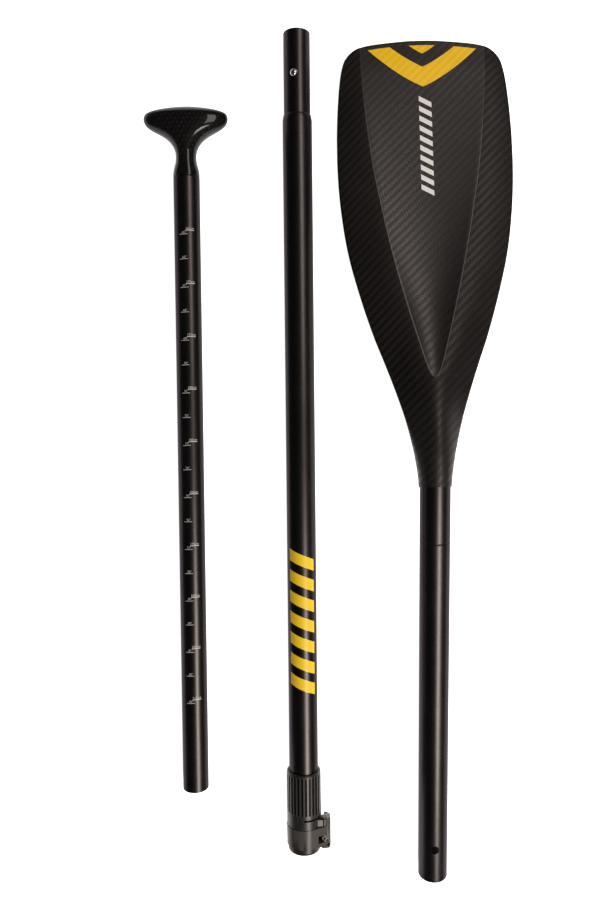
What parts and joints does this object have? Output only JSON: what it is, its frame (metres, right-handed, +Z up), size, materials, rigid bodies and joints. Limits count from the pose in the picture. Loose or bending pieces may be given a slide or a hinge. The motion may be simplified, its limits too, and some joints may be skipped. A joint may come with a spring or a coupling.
{
  "type": "stand-up paddle",
  "caption": "Adjustable take-apart stand-up paddle with a T grip, cam clamp, snap-button spigot and twill-laminate blade, laid out in its sections.",
  "frame": {"origin": "middle of the laid-out set, on the surface it lies on", "axes": "+Y along the sections towards the blade's tip, +X from the handle section towards the blade section, +Z up"},
  "size_m": [0.3518, 0.8192, 0.0715],
  "materials": {
    "tube": "satin black composite tube",
    "spigot": "satin black composite sleeve",
    "clamp_plastic": "fine-textured moulded nylon",
    "grip_gloss": "gloss clear coat over a dark weave",
    "laminate": "satin twill laminate",
    "bright_steel": "polished",
    "steel": "zinc plated",
    "rubber": "matte",
    "foam": "closed-cell foam"
  },
  "bodies": {
    "middle": {"middle_shaft": "tube", "spigot_sleeve": "spigot", "button_spring": "steel", "clamp_collar": "clamp_plastic", "clamp_band": "clamp_plastic", "lever_pin": "steel", "tension_nut": "steel"},
    "lever": {"cam_lever": "clamp_plastic"},
    "screw": {"tension_screw": "steel"},
    "button": {"snap_button": "bright_steel"},
    "handle_carrier": {"handle_end_plug": "rubber"},
    "handle": {"handle_shaft": "tube", "palm_grip": "grip_gloss"},
    "blade": {"blade_shaft": "tube", "neck_tube": "tube", "neck_ferrule": "spigot", "shaft_bung": "foam", "blade_face": "laminate", "blade_back": "laminate", "blade_core": "foam"}
  },
  "joints": [
    {"name": "lever_open", "type": "hinge", "parent": "middle", "child": "lever", "pos_m": [-0.01034, -0.3602, 0.02262], "axis": [0, -1, 0.0042], "range_deg": [0, 98]},
    {"name": "screw_turn", "type": "hinge", "parent": "middle", "child": "screw", "pos_m": [-0.01034, -0.36575, 0.02265], "axis": [0, 0.0042, 1], "range_deg": [-720, 720]},
    {"name": "button_press", "type": "slide", "parent": "middle", "child": "button", "axis": [0.2079, -0.0041, -0.9781], "range_m": [0, 0.0042], "stiffness_N_per_m": 2000, "springref_m": -0.002, "deforming": ["button_spring"]},
    {"name": "handle_turn", "type": "hinge", "parent": "middle", "child": "handle_carrier", "pos_m": [-0.08271, -0.35123, 0.014], "axis": [-0.0429, -0.0004, 0.9991], "range_deg": [0, 180.02]},
    {"name": "handle_slide", "type": "slide", "parent": "handle_carrier", "child": "handle", "axis": [0, -1, -0.005], "range_m": [0, 0.54]},
    {"name": "blade_pull", "type": "slide", "parent": "middle", "child": "blade", "axis": [-0.0066, 0.9949, 0.1011], "range_m": [0, 0.09]}
  ]
}
